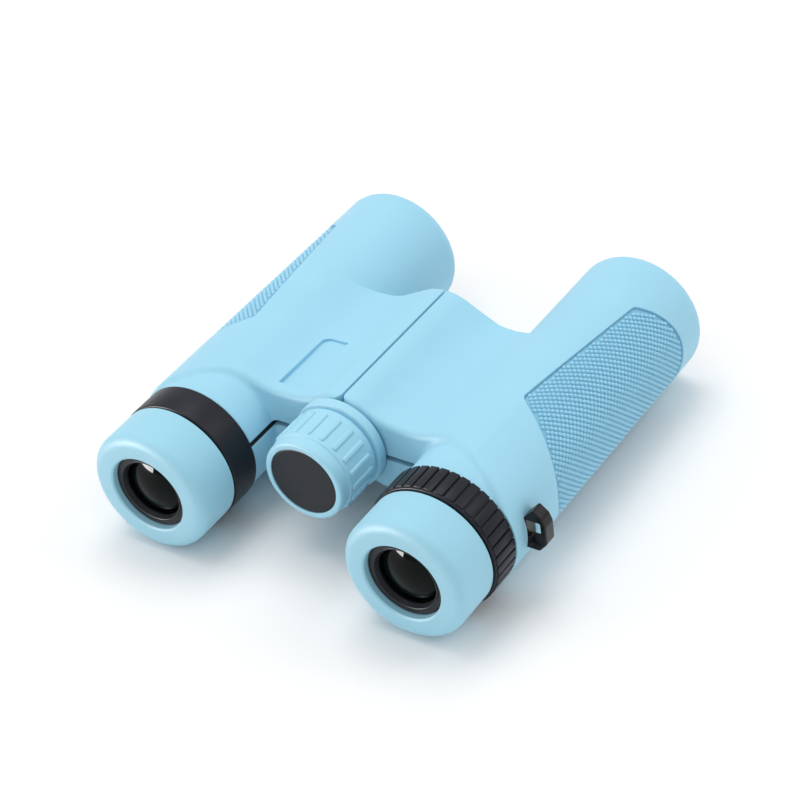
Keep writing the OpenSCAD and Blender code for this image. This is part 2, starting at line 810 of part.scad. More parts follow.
hinge_washers();
hinge_cap();
hinge_guide_pin();
knob_seal();
focus_knob();
knob_disc();
knob_hub();
knob_screw();
focus_screw();
focus_shuttle();
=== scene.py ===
import bpy
import json
import math
import numpy as np
from mathutils import Matrix, Vector


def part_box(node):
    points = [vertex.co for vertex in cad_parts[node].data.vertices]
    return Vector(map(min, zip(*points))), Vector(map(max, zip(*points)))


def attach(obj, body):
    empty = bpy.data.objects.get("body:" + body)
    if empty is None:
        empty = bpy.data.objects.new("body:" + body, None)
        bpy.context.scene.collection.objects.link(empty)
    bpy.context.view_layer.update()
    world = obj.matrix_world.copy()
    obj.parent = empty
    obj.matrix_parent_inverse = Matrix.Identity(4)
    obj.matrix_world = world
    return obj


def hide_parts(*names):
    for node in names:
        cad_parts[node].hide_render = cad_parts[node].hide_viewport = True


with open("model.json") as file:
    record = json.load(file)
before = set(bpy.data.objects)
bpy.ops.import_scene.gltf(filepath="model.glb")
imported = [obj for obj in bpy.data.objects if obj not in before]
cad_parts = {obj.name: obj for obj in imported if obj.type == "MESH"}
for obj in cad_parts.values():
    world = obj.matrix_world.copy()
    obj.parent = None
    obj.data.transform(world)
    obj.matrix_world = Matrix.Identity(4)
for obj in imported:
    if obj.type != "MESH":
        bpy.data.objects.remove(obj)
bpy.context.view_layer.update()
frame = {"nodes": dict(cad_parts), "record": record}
mm = 0.001

# The axes that everything is built on, taken from the frame.
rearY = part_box("left_eyecup")[0].y
barrelX = (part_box("right_eyecup")[0].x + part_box("right_eyecup")[1].x) / 2 / mm
axisZ = (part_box("right_eyecup")[0].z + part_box("right_eyecup")[1].z) / 2
hingeZ = (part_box("knob_disc")[0].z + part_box("knob_disc")[1].z) / 2
hingeRise = (hingeZ - axisZ) / mm
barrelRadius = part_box("right_armour")[1].x / mm - barrelX
frontStation = (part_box("right_armour")[1].y - rearY) / mm
sides = {"left": -1, "right": 1}


def at(station):  # Y of a station, which is a distance forwards from the eyecup rims in mm
    return rearY + station * mm


def stationsOf(node):
    low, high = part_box(node)
    return (low.y - rearY) / mm, (high.y - rearY) / mm


# ---- modelling helpers ----

def clearAll():
    if bpy.context.object and bpy.context.object.mode != "OBJECT":
        bpy.ops.object.mode_set(mode="OBJECT")
    bpy.ops.object.select_all(action="DESELECT")


def choose(piece):
    clearAll()
    piece.select_set(True)
    bpy.context.view_layer.objects.active = piece
    return piece


def editing(piece, everything=True):
    choose(piece)
    bpy.ops.object.mode_set(mode="EDIT")
    bpy.ops.mesh.select_mode(type="VERT")
    bpy.ops.mesh.select_all(action="SELECT" if everything else "DESELECT")


def closeEditing(piece, angle=35):
    bpy.ops.object.mode_set(mode="OBJECT")
    bpy.ops.object.shade_smooth_by_angle(angle=math.radians(angle))
    return piece


def rounded(corners, steps=6):  # corners of (x, y, radius) in mm, each rounded by an arc
    points = []
    for i, corner in enumerate(corners):
        here, radius = Vector(corner[:2]), (corner[2] if len(corner) > 2 else 0)
        before = Vector(corners[i - 1][:2]) - here
        after = Vector(corners[(i + 1) % len(corners)][:2]) - here
        reach = min(before.length, after.length) * 0.49
        half = before.angle(after) / 2 if radius else 0
        radius = min(radius, reach * math.tan(half)) if radius else 0
        if radius < 1e-6:
            points.append(here)
            continue
        before.normalize()
        after.normalize()
        centre = here + (before + after).normalized() * radius / math.sin(half)
        start = here + before * radius / math.tan(half) - centre
        end = here + after * radius / math.tan(half) - centre
        turn = math.atan2(start.x * end.y - start.y * end.x, start.dot(end))
        for k in range(steps + 1):
            c, s = math.cos(turn * k / steps), math.sin(turn * k / steps)
            points.append(centre + Vector((start.x * c - start.y * s, start.x * s + start.y * c)))
    return points


def traced(name, points, closed=True):  # one vertex pulled along an outline by extrusions
    clearAll()
    bpy.ops.mesh.primitive_plane_add(size=mm, location=(0, 0, 0))
    piece = bpy.context.object
    piece.name = piece.data.name = name
    bpy.ops.object.mode_set(mode="EDIT")
    bpy.ops.mesh.select_mode(type="VERT")
    bpy.ops.mesh.select_all(action="SELECT")
    bpy.ops.mesh.merge(type="CENTER")
    bpy.ops.transform.translate(value=points[0])
    route = list(points) + ([points[0]] if closed else [])
    for before, after in zip(route, route[1:]):
        bpy.ops.mesh.extrude_region_move(TRANSFORM_OT_translate={"value": after - before})
    bpy.ops.mesh.select_all(action="SELECT")
    bpy.ops.mesh.remove_doubles(threshold=1e-7)
    return piece


def lathe(name, corners, x, z, turns=96, angle=35, steps=6, closed=True):
    # an outline of (radius, station, rounding) turned round the axis that runs along Y at x, z
    points = [Vector((x + r * mm, at(s), z)) for r, s in rounded(corners, steps)]
    piece = traced(name, points, closed)
    bpy.ops.mesh.spin(steps=turns, angle=2 * math.pi, center=(x, 0, z), axis=(0, 1, 0))
    bpy.ops.mesh.select_all(action="SELECT")
    bpy.ops.mesh.remove_doubles(threshold=2e-7)
    bpy.ops.mesh.normals_make_consistent(inside=False)
    return closeEditing(piece, angle)


def extruded(name, corners, fromS, toS, steps=6):  # an outline of (x, z, rounding) drawn out along Y
    points = [Vector((x * mm, at(fromS), z * mm)) for x, z in rounded(corners, steps)]
    piece = traced(name, points)
    bpy.ops.mesh.edge_face_add()
    bpy.ops.mesh.extrude_region_move(TRANSFORM_OT_translate={"value": (0, (toS - fromS) * mm, 0)})
    bpy.ops.mesh.select_all(action="SELECT")
    bpy.ops.mesh.normals_make_consistent(inside=False)
    return closeEditing(piece)


def bar(name, low, high, bevel=0, segments=3):  # a rounded bar between two corners in mm
    clearAll()
    low, high = Vector(low), Vector(high)
    bpy.ops.mesh.primitive_cube_add(size=1, location=(low + high) / 2 * mm, scale=(high - low) * mm)
    piece = bpy.context.object
    piece.name = piece.data.name = name
    bpy.ops.object.transform_apply(location=True, rotation=True, scale=True)
    if bevel:
        editing(piece)
        bpy.ops.mesh.bevel(offset=bevel * mm, segments=segments, affect="EDGES")
        closeEditing(piece, 50)
    return piece


def ringOf(piece, count, x, z):  # copies of a piece, joined, evenly round the axis along Y at x, z
    copies = [piece]
    for i in range(1, count):
        copy = piece.copy()
        copy.data = piece.data.copy()
        bpy.context.scene.collection.objects.link(copy)
        turn = Matrix.Rotation(2 * math.pi * i / count, 4, "Y")
        place = Matrix.Translation((x, 0, z))
        copy.data.transform(place @ turn @ place.inverted())
        copies.append(copy)
    return joined(copies)


def joined(pieces):
    choose(pieces[0])
    for piece in pieces:
        piece.select_set(True)
    bpy.ops.object.join()
    return bpy.context.object


def combined(piece, tool, operation="DIFFERENCE", angle=35):
    choose(piece)
    change = piece.modifiers.new("shape", "BOOLEAN")
    change.operation, change.solver, change.object = operation, "MANIFOLD", tool
    bpy.ops.object.modifier_apply(modifier=change.name)
    bpy.data.objects.remove(tool)
    bpy.ops.object.shade_smooth_by_angle(angle=math.radians(angle))
    return piece


def mirrored(piece, name):  # the same piece on the other side
    clearAll()
    copy = piece.copy()
    copy.data = piece.data.copy()
    copy.name = copy.data.name = name
    bpy.context.scene.collection.objects.link(copy)
    copy.data.transform(Matrix.Scale(-1, 4, (1, 0, 0)))
    editing(copy)
    bpy.ops.mesh.flip_normals()
    bpy.ops.object.mode_set(mode="OBJECT")
    return copy


def finished(piece, body, slot, *nodes):
    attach(piece, body)
    if nodes:
        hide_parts(*nodes)
    if not any(piece.data.materials):
        piece.data.materials.clear()
        piece.data.materials.append(finishes[slot])
    return piece


# ---- shader helpers ----

class Wire:  # a socket in a material, with sums written as sums
    def __init__(self, tree, socket=None):
        self.tree = tree
        self.socket = socket

    def node(self, kind, settings=None, inputs=None, out=0):
        made = self.tree.nodes.new(kind)
        for key, value in (settings or {}).items():
            if key == "stops":
                while len(made.color_ramp.elements) < len(value):
                    made.color_ramp.elements.new(0.5)
                for element, (place, colour) in zip(made.color_ramp.elements, value):
                    element.position, element.color = place, (*colour, 1)
            else:
                setattr(made, key, value)
        for key, value in (inputs or {}).items():
            if isinstance(value, Wire):
                self.tree.links.new(value.socket, made.inputs[key])
            else:
                made.inputs[key].default_value = value
        return Wire(self.tree, made.outputs[out] if made.outputs else None)

    def maths(self, operation, *values):
        return self.node("ShaderNodeMath", {"operation": operation}, dict(enumerate(values)))

    def __add__(self, other):
        return self.maths("ADD", self, other)

    def __sub__(self, other):
        return self.maths("SUBTRACT", self, other)

    def __rsub__(self, other):
        return self.maths("SUBTRACT", other, self)

    def __mul__(self, other):
        return self.maths("MULTIPLY", self, other)

    __radd__ = __add__
    __rmul__ = __mul__


def newFinish(name):
    made = bpy.data.materials.new(name)
    made.use_nodes = True
    made.node_tree.nodes.clear()
    wire = Wire(made.node_tree)
    place = wire.node("ShaderNodeTexCoord", out=3)
    return made, wire, place


def grain(wire, place, scale, detail=3, roughness=0.5):  # noise with features of about 1/scale
    return wire.node("ShaderNodeTexNoise", {}, {
        "Vector": place, "Scale": scale, "Detail": detail, "Roughness": roughness})


def between(wire, share, a, b):  # a colour mixed from two
    return wire.node("ShaderNodeMix", {"data_type": "RGBA"}, {0: share, 6: (*a, 1), 7: (*b, 1)}, out=2)


def bump(wire, height, strength, distance):
    return wire.node("ShaderNodeBump", {}, {"Height": height, "Strength": strength, "Distance": distance})


def surface(wire, made, inputs):
    shader = wire.node("ShaderNodeBsdfPrincipled", {}, inputs)
    wire.node("ShaderNodeOutputMaterial", {}, {"Surface": shader})
    return made


rubber = {
    "skin": (0.335, 0.660, 0.830), "knob": (0.350, 0.680, 0.840), "cup": (0.330, 0.650, 0.800),
    "dusty": 1.06, "roughness": 0.52, "grain": 5200, "bump": 0.16, "cloud": 60,
}


def rubberFinish(name, colour):
    made, wire, place = newFinish(name)
    cloud = grain(wire, place, rubber["cloud"], 2)
    fine = grain(wire, place, rubber["grain"], 2, 0.6)
    share = cloud * 0.6 + fine * 0.4
    paler = tuple(min(1, c * rubber["dusty"]) for c in colour)
    deeper = tuple(c * (2 - rubber["dusty"]) for c in colour)
    return surface(wire, made, {
        "Base Color": between(wire, share, deeper, paler),
        "Roughness": rubber["roughness"] + fine * 0.12 - cloud * 0.05,
        "Normal": bump(wire, fine, rubber["bump"], 0.00006),
        "Specular IOR Level": 0.42, "Sheen Weight": 0.12, "Sheen Roughness": 0.45,
    })


def plasticFinish(name, colour, roughness, scale, strength, gloss=0.4):
    made, wire, place = newFinish(name)
    fine = grain(wire, place, scale, 3, 0.65)
    cloud = grain(wire, place, 140, 2)
    return surface(wire, made, {
        "Base Color": between(wire, cloud, colour, tuple(c * 1.35 for c in colour)),
        "Roughness": roughness + fine * 0.14 - 0.07,
        "Normal": bump(wire, fine, strength, 0.00005),
        "Specular IOR Level": gloss,
    })


def metalFinish(name, colour, roughness):
    made, wire, place = newFinish(name)
    turned = wire.node("ShaderNodeMapping", {}, {"Vector": place, "Scale": (1, 14, 1)})
    lines = grain(wire, turned, 420, 4, 0.6)
    fine = grain(wire, place, 3000, 2)
    return surface(wire, made, {
        "Base Color": between(wire, lines, tuple(c * 0.86 for c in colour), colour),
        "Metallic": 1, "Roughness": roughness + lines * 0.16 - 0.08,
        "Normal": bump(wire, lines * 0.7 + fine * 0.3, 0.12, 0.00004),
    })


def glassFinish(name, colour, coating, index):
    made, wire, place = newFinish(name)
    dust = grain(wire, place, 900, 4, 0.7)
    return surface(wire, made, {
        "Base Color": between(wire, dust, tuple(c * 0.97 for c in colour), colour),
        "Roughness": 0.0, "IOR": index, "Transmission Weight": 1, "Specular Tint": (*coating, 1),
    })


def eyeGlassPaintedShadeFinish(name):  # opaque dark glass, painted shade standing in for the dark inside of the eyepiece, with a pale ring painted 4.6 mm off its axis as the lit edge of the field stop: a painted highlight
    made, wire, place = newFinish(name)
    aside = wire.node("ShaderNodeSeparateXYZ", {}, {0: place}).maths("ABSOLUTE") - barrelX * mm
    above = wire.node("ShaderNodeSeparateXYZ", {}, {0: place}, out=2) - axisZ
    off = (aside * aside + above * above).maths("SQRT") * (1 / mm)
    # painted highlight: a pale band 4.0 to 5.2 mm off the axis, on painted shade that darkens towards the rim
    ring = wire.node("ShaderNodeValToRGB", {"stops": [
        (0.0, (0.003, 0.016, 0.012)), (0.40, (0.003, 0.014, 0.011)), (0.46, (0.008, 0.040, 0.030)),
        (0.52, (0.001, 0.004, 0.004)), (1.0, (0.001, 0.003, 0.003))]}, {0: off * 0.1})  # 1 is 10 mm off
    dust = grain(wire, place, 900, 4, 0.7)
    return surface(wire, made, {
        "Base Color": ring, "Roughness": 0.01 + dust * 0.02,
        "IOR": 1.5, "Specular IOR Level": 0.1,
    })


finishes = {
    # painted shade: the grip's groove floor is a darker copy of the skin rubber, shade painted between the
    # beads
    "grooves": rubberFinish("grooveRubberPaintedShade", (0.215, 0.520, 0.700)),
    "skin": rubberFinish("skinRubber", rubber["skin"]),
    "knob_skin": rubberFinish("knobRubber", rubber["knob"]),
    "cup": rubberFinish("cupRubber", rubber["cup"]),
    "hard_body": plasticFinish("hardBodyPlastic", (0.010, 0.010, 0.011), 0.42, 2600, 0.3, 0.25),
    "black_trim": plasticFinish("satinBlackPlastic", (0.012, 0.014, 0.019), 0.36, 3400, 0.2, 0.2),
    "gloss_trim": plasticFinish("glossBlackPlastic", (0.005, 0.004, 0.004), 0.22, 900, 0.05, 0.3),
    "inner_black": plasticFinish("blackenedInside", (0.004, 0.004, 0.004), 0.8, 2200, 0.4, 0.1),
    # the eye and field lenses are opaque and painted: painted shade for the inside of the eyepiece, a painted
    # highlight for the field stop's edge
    "coated_glass": eyeGlassPaintedShadeFinish("eyeGlassPaintedShade"),
    "front_glass": glassFinish("violetCoatedGlass", (0.90, 0.93, 0.97), (0.45, 0.3, 0.7), 1.45),
    "prism_glass": glassFinish("prismGlass", (0.22, 0.36, 0.32), (0.3, 0.6, 0.5), 1.5),
    "steel": metalFinish("turnedSteel", (0.60, 0.60, 0.62), 0.30),
    "brass": metalFinish("turnedBrass", (0.72, 0.53, 0.25), 0.32),
    "washer_plastic": plasticFinish("nylon", (0.62, 0.61, 0.55), 0.45, 1800, 0.15),
    "seal_rubber": plasticFinish("sealRubber", (0.010, 0.010, 0.010), 0.6, 2600, 0.3),
}
for part in frame["record"]["subparts"]:
    name = part["node"]
    frame["nodes"][name].data.materials.clear()
    frame["nodes"][name].data.materials.append(finishes[part["material_slot"]])
print("finishes made:", len(finishes))


# ---- the rubber skin ----

skin = {
    "wall": 1.6, "neckRadius": 15.5, "rearEdge": 0.35, "noseDepth": 2.8, "noseLength": 3.5,
    "bridgeStart": 31.9, "bridgeLength": 46.8, "coverRadius": 11.8, "topRise": 12.8, "topTilt": 0.4,
    "hollowRadius": 22.0, "blend": 5.0, "neckBlend": 1.5, "shoulder": 2.0, "frontEdge": 0.6, "seam": 0.15,
    "gapAngle": 31.0, "columns": 300, "slotRise": 3.1, "slotHeight": 1.5, "slotInner": 8.8, "slotOuter": 13.4,
    "frontBow": 2.2, "frontDrop": 1.0, "bowStart": 12, "bowWidth": 12,
    "fullStart": 52, "fullLength": 8, "filledStart": 45, "filledLength": 5,
}
hingeHoles = ((6.15, 20, 40), (6.1, 70, 90))  # radius and both ends of the holes for the bush and the cap
neckStart = stationsOf("right_armour")[0]
bridgeEnd = skin["bridgeStart"] + skin["bridgeLength"]
underRise = hingeRise - skin["coverRadius"]
hollowZ = skin["topRise"] + skin["hollowRadius"]
hollowX = math.sqrt((skin["coverRadius"] + skin["hollowRadius"]) ** 2 - (hollowZ - hingeRise) ** 2)
joinX = hollowX * skin["coverRadius"] / (skin["coverRadius"] + skin["hollowRadius"])


def lower(a, b, size):  # the nearer of two surfaces, with their corner filled over size
    share = np.clip(size - np.abs(a - b), 0, None) / size
    return np.minimum(a, b) - size * share * share / 4


def upper(a, b, size):
    return -lower(-a, -b, size)


def eased(share):
    share = np.clip(share, 0, 1)
    return share * share * (3 - 2 * share)


def bridgeTop(x, s):  # height of the bridge's upper surface above the optical axes
    cover = hingeRise + np.sqrt(np.clip(skin["coverRadius"] ** 2 - x * x, 0, None))
    hollow = hollowZ - np.sqrt(np.clip(skin["hollowRadius"] ** 2 - (hollowX - x) ** 2, 0, None))
    top = np.where(x < joinX, cover, np.where(x < hollowX, hollow, skin["topRise"]))
    along = (s - skin["bridgeStart"]) / (bridgeEnd - skin["bridgeStart"])
    slope = skin["topTilt"] * (1 - 2 * along) - skin["frontDrop"] * np.clip(along, 0, 1) ** 4
    return top + slope * eased((x - joinX) / (hollowX - joinX))


def skinDistance(x, s, h):  # under 0 inside the right half, x and h in mm from the hinge and the axes
    across = np.hypot(x - barrelX, h)
    angle = math.radians(skin["gapAngle"])
    bridge = upper(h - bridgeTop(x, s), skin["seam"] - x, 0.5)
    bridge = upper(bridge, underRise - h, 1.2)
    openEdge = -math.cos(angle) * (x - skin["seam"]) - math.sin(angle) * (h - hingeRise)
    bridge = np.maximum(upper(bridge, openEdge, 0.5), x - barrelX)
    body = lower(across - barrelRadius, bridge, skin["blend"])
    lean = x - 30.5
    shoulder = skin["bridgeStart"] - 0.28 * (lean + np.sqrt(lean * lean + 4.8))
    body = upper(body, shoulder - s, skin["shoulder"])
    bow = skin["frontBow"] * np.clip((x - skin["bowStart"]) / skin["bowWidth"], 0, 1) ** 2
    body = upper(body, s - bridgeEnd + bow, skin["frontEdge"])
    step = barrelRadius - skin["neckRadius"]
    noseStart = frontStation - skin["noseLength"]
    nose = np.clip((s - noseStart) / skin["noseLength"], 0, 1)
    neck = skin["neckRadius"] + step * eased((s - skin["fullStart"]) / skin["fullLength"])
    radius = neck - skin["noseDepth"] * (1 - np.sqrt(1 - nose ** 2))
    filled = skin["neckBlend"] * (1 - eased((s - skin["filledStart"]) / skin["filledLength"])) + 1e-5
    whole = lower(body, across - radius, filled)
    return upper(whole, neckStart - s, skin["rearEdge"])


def skinStations():  # rows close together wherever the skin turns sharply
    near = np.array([0.01, 0.03, 0.08, 0.16, 0.28, 0.45, 0.7, 1.0, 1.4])
    rear = neckStart + np.array([0.002, 0.03, 0.09, 0.2, 0.36])
    neck = np.arange(neckStart + 0.7, skin["bridgeStart"] - 1.6, 0.42)
    start, end = skin["bridgeStart"], bridgeEnd
    body = np.arange(start + 2.0, end - 3.6, 1.6)
    front = np.arange(end + 1.5, frontStation - skin["noseLength"], 2.8)
    nose = frontStation - skin["noseLength"] * (1 - np.sin(np.radians(np.arange(0, 91, 5))))
    bow = end - np.arange(0.3, 3.2, 0.3)[::-1]
    return np.concatenate([rear, neck, start - near[::-1], start + near, body, bow - 0.15,
                           end - near[:4][::-1], end + near[:2], front, nose])


def skinAngles():  # more columns where the section is long, and one on each of its corners
    spread = math.tan(math.radians(skin["gapAngle"])) * skin["coverRadius"]
    corners = [(hingeRise - skin["coverRadius"], skin["seam"] + spread),
               (hingeRise + skin["coverRadius"], skin["seam"]), (hingeRise, skin["seam"])]
    under, top, middle = [math.atan2(h, x - barrelX) for h, x in corners]
    middle %= 2 * math.pi
    fine = np.linspace(under, top, 4000)
    reach = skinReach(np.array([55.0]), fine)[0]
    length = np.hypot(np.diff(reach * np.cos(fine)), np.diff(reach * np.sin(fine)))
    run = np.concatenate([[0], np.cumsum(length)])
    outer = np.interp(np.linspace(0, run[-1], skin["columns"]), run, fine)
    seamFace = np.linspace(top, middle, 9)[1:]
    gapFace = np.linspace(middle, under + 2 * math.pi, 9)[1:]
    return np.concatenate([outer, seamFace, gapFace])


def skinReach(stations, angles):  # distance of the skin from the barrel's axis, found by halving
    s = stations[:, None] + 0 * angles[None, :]
    c, n = np.cos(angles)[None, :], np.sin(angles)[None, :]
    low, high = np.full(s.shape, 6.0), np.full(s.shape, 60.0)
    for _ in range(40):
        middle = (low + high) / 2
        inside = skinDistance(barrelX + middle * c, s, middle * n) < 0
        low, high = np.where(inside, middle, low), np.where(inside, high, middle)
    return (low + high) / 2


def skinBlank(name):  # the solid right half: a grid wrapped round the barrel's axis
    stations, angles = skinStations(), skinAngles()
    reach = skinReach(stations, angles)
    clearAll()
    bpy.ops.mesh.primitive_grid_add(x_subdivisions=len(angles) - 1, y_subdivisions=len(stations) - 1, size=1)
    piece = bpy.context.object
    piece.name = piece.data.name = name
    flat = np.zeros(len(piece.data.vertices) * 3)
    piece.data.vertices.foreach_get("co", flat)
    flat = flat.reshape(-1, 3)
    column = np.rint((flat[:, 0] + 0.5) * (len(angles) - 1)).astype(int)
    row = np.rint((flat[:, 1] + 0.5) * (len(stations) - 1)).astype(int)
    r, a = reach[row, column], angles[column]
    spots = np.stack([(barrelX + r * np.cos(a)) * mm, at(0) + stations[row] * mm,
                      axisZ + r * np.sin(a) * mm], 1)
    piece.data.vertices.foreach_set("co", spots.ravel())
    piece.data.update()
    editing(piece)
    bpy.ops.mesh.remove_doubles(threshold=1e-7)
    bpy.ops.mesh.select_all(action="DESELECT")
    bpy.ops.mesh.select_mode(type="EDGE")
    bpy.ops.mesh.select_non_manifold()
    bpy.ops.mesh.fill_holes(sides=0)
    bpy.ops.mesh.select_all(action="SELECT")
    bpy.ops.mesh.normals_make_consistent(inside=False)
    return closeEditing(piece, 30)


def innerSection(wall):  # the bridge's section drawn in by its wall, running on past the hinge
    radius, hollow = skin["coverRadius"] - wall, skin["hollowRadius"] + wall
    over = [(-2, hingeRise + math.sqrt(radius ** 2 - 4))]
    for k in range(1, 9):
        x = joinX * radius / skin["coverRadius"] * k / 8
        over.append((x, hingeRise + math.sqrt(radius ** 2 - x * x)))
    for k in range(1, 13):
        x = over[8][0] + (hollowX - over[8][0]) * k / 12
        over.append((x, hollowZ - math.sqrt(hollow ** 2 - (hollowX - x) ** 2)))
    section = over + [(30, over[-1][1]), (30, underRise + wall), (-2, underRise + wall)]
    return [(x, axisZ / mm + h) for x, h in section]


def slotTool():  # the parting slot between the barrel's neck and the knob
    low = axisZ / mm + skin["slotRise"]
    return bar("slot", (skin["slotInner"], at(neckStart - 2) / mm, low),
               (barrelX - skin["slotOuter"], at(skin["bridgeStart"] + 1.66) / mm, low + skin["slotHeight"]))


grip = {
    "rearTop": (82, 51.0), "frontTop": (63, 94.2), "rearMiddle": 39.9, "frontMiddle": 100.9, "bow": 1.6,
    "corner": 1.8, "floor": 15.8, "level": 16.02, "groove": 0.3,
    "pitch": 1.15, "beadRadius": 0.54, "beadHeight": 0.56,
}
beadSides = 8
beadFaces = beadSides * 4 + 1  # side walls, two rings and the tip, and the base


def gripOutline(margin):  # corners of the panel, unrolled: across round the barrel and along it
    millimetres = math.radians(1) * barrelRadius
    (rearAngle, rearS), (frontAngle, frontS) = grip["rearTop"], grip["frontTop"]
    rearX, frontX = rearAngle * millimetres - margin, frontAngle * millimetres - margin
    points = []
    for k in range(-12, 13):
        share = k / 12
        s = grip["rearMiddle"] + (rearS - grip["rearMiddle"]) * abs(share) ** grip["bow"] + margin
        points.append((rearX * share, s, grip["corner"] if abs(k) == 12 else 0))
    for k in range(12, -13, -1):
        share = k / 12
        s = grip["frontMiddle"] - (grip["frontMiddle"] - frontS) * share ** 2 - margin
        points.append((frontX * share, s, grip["corner"] if abs(k) == 12 else 0))
    return points


def wrapped(piece):  # bends a flat piece round the right barrel: x goes round, y along, z outwards
    flat = np.zeros(len(piece.data.vertices) * 3)
    piece.data.vertices.foreach_get("co", flat)
    flat = flat.reshape(-1, 3)
    turn = flat[:, 0] / (barrelRadius * mm)
    spots = np.stack([barrelX * mm + flat[:, 2] * np.cos(turn), rearY + flat[:, 1],
                      axisZ + flat[:, 2] * np.sin(turn)], 1)
    piece.data.vertices.foreach_set("co", spots.ravel())
    piece.data.update()
    return piece


def gripPlate(name, margin, low, high):  # the panel's outline as a curved plate
    corners = gripOutline(margin)
    points = [Vector((x * mm, s * mm, low * mm)) for x, s in rounded(corners, 6)]
    piece = traced(name, points)
    bpy.ops.mesh.edge_face_add()
    reach = max(corner[0] for corner in corners)
    count = int(reach / 0.7)
    for k in range(-count, count + 1):
        bpy.ops.mesh.select_all(action="SELECT")
        bpy.ops.mesh.bisect(plane_co=(reach * mm * k / (count + 0.5), 0, 0), plane_no=(1, 0, 0))
    bpy.ops.mesh.select_all(action="SELECT")
    bpy.ops.mesh.extrude_region_move(TRANSFORM_OT_translate={"value": (0, 0, (high - low) * mm)})
    bpy.ops.object.mode_set(mode="OBJECT")
    wrapped(piece)
    editing(piece)
    bpy.ops.mesh.normals_make_consistent(inside=False)
    return closeEditing(piece, 40)


def insideOutline(points, x, s):
    inside = np.zeros(len(x), bool)
    for (ax, ay), (bx, by) in zip(points, points[1:] + points[:1]):
        crossing = (ay > s) != (by > s)
        run = ax + (s - ay) * (bx - ax) / (by - ay if by != ay else 1e-9)
        inside ^= crossing & (x < run)
    return inside


def gripBeads(name):  # one small dome, repeated by arrays over a diamond lattice and trimmed to the panel
    clearAll()
    step = grip["pitch"] / math.sqrt(2)
    reach = grip["rearTop"][0] * math.radians(1) * barrelRadius
    across, along = int(reach / step) + 1, int((grip["frontMiddle"] - grip["rearMiddle"]) / step / 2) + 2
    bpy.ops.mesh.primitive_cylinder_add(vertices=beadSides, radius=grip["beadRadius"] * mm, depth=0.1 * mm,
        location=(-across * step * mm, (grip["rearMiddle"] - 0.4) * mm, grip["level"] * mm))
    piece = bpy.context.object
    piece.name = piece.data.name = name
    bpy.ops.object.transform_apply(location=True, rotation=True, scale=True)
    editing(piece, everything=False)
    bpy.ops.object.mode_set(mode="OBJECT")
    for face in piece.data.polygons:
        face.select = face.normal.z > 0.9
    bpy.ops.object.mode_set(mode="EDIT")
    bpy.ops.mesh.select_mode(type="FACE")
    centre = Vector((-across * step * mm, (grip["rearMiddle"] - 0.4) * mm, 0))
    for lift, share in ((0.62, 0.80), (0.26, 0.62)):
        bpy.ops.mesh.extrude_region_move(
            TRANSFORM_OT_translate={"value": (0, 0, lift * grip["beadHeight"] * mm)})
        bpy.ops.transform.resize(value=(share, share, 1), center_override=centre)
    bpy.ops.mesh.extrude_region_move(
        TRANSFORM_OT_translate={"value": (0, 0, 0.06 * grip["beadHeight"] * mm)})
    bpy.ops.mesh.merge(type="CENTER")
    bpy.ops.object.mode_set(mode="OBJECT")
    for label, count, offset in (("pair", 2, (step, step)), ("across", across + 1, (2 * step, 0)),
                                 ("along", along, (0, 2 * step))):
        row = piece.modifiers.new(label, "ARRAY")
        row.use_relative_offset, row.use_constant_offset = False, True
        row.count, row.constant_offset_displace = count, (offset[0] * mm, offset[1] * mm, 0)
        bpy.ops.object.modifier_apply(modifier=row.name)
    trimBeads(piece)
    return closeEditing(wrappedEditing(piece), 60)


def trimBeads(piece):  # beads whose middle lies outside the panel are deleted whole
    spots = np.zeros(len(piece.data.vertices) * 3)
    piece.data.vertices.foreach_get("co", spots)
    beadSize = len(piece.data.vertices) // (len(piece.data.polygons) // beadFaces)
    middles = spots.reshape(-1, beadSize, 3).mean(1) / mm
    outline = [tuple(p) for p in rounded(gripOutline(grip["groove"] + grip["beadRadius"] * 0.8), 6)]
    kept = np.repeat(insideOutline(outline, middles[:, 0], middles[:, 1]), beadSize)
    piece.data.polygons.foreach_set("select", np.zeros(len(piece.data.polygons), bool))
    bpy.ops.object.mode_set(mode="EDIT")
    bpy.ops.mesh.select_mode(type="VERT")
    bpy.ops.object.mode_set(mode="OBJECT")
    piece.data.vertices.foreach_set("select", ~kept)
    bpy.ops.object.mode_set(mode="EDIT")
    bpy.ops.mesh.delete(type="VERT")
    bpy.ops.object.mode_set(mode="OBJECT")


def wrappedEditing(piece):
    wrapped(piece)
    editing(piece)
    bpy.ops.mesh.normals_make_consistent(inside=False)
    return piece


lug = {
    "root": 14.05, "reach": 21.4, "low": -4.0, "high": 6.0, "arm": 2.0, "holeX": 16.4, "rail": 1.4,
    "bevel": 0.3,
}


def lugOutline():  # the lug's own shape, seen along the barrel
    reach, low, high = lug["reach"], lug["low"], lug["high"]
    corners = [
        (lug["root"], low, 0), (reach - 2.0, low, 1.0), (reach, low + 2.4, 1.6), (reach, high - 2.6, 1.6),
        (reach - 0.8, high - 0.6, 0.8), (reach - 3.1, high + 1.2, 0.5), (lug["root"], high - 3.5, 0)]
    return [(barrelX + x, axisZ / mm + z, r) for x, z, r in corners]


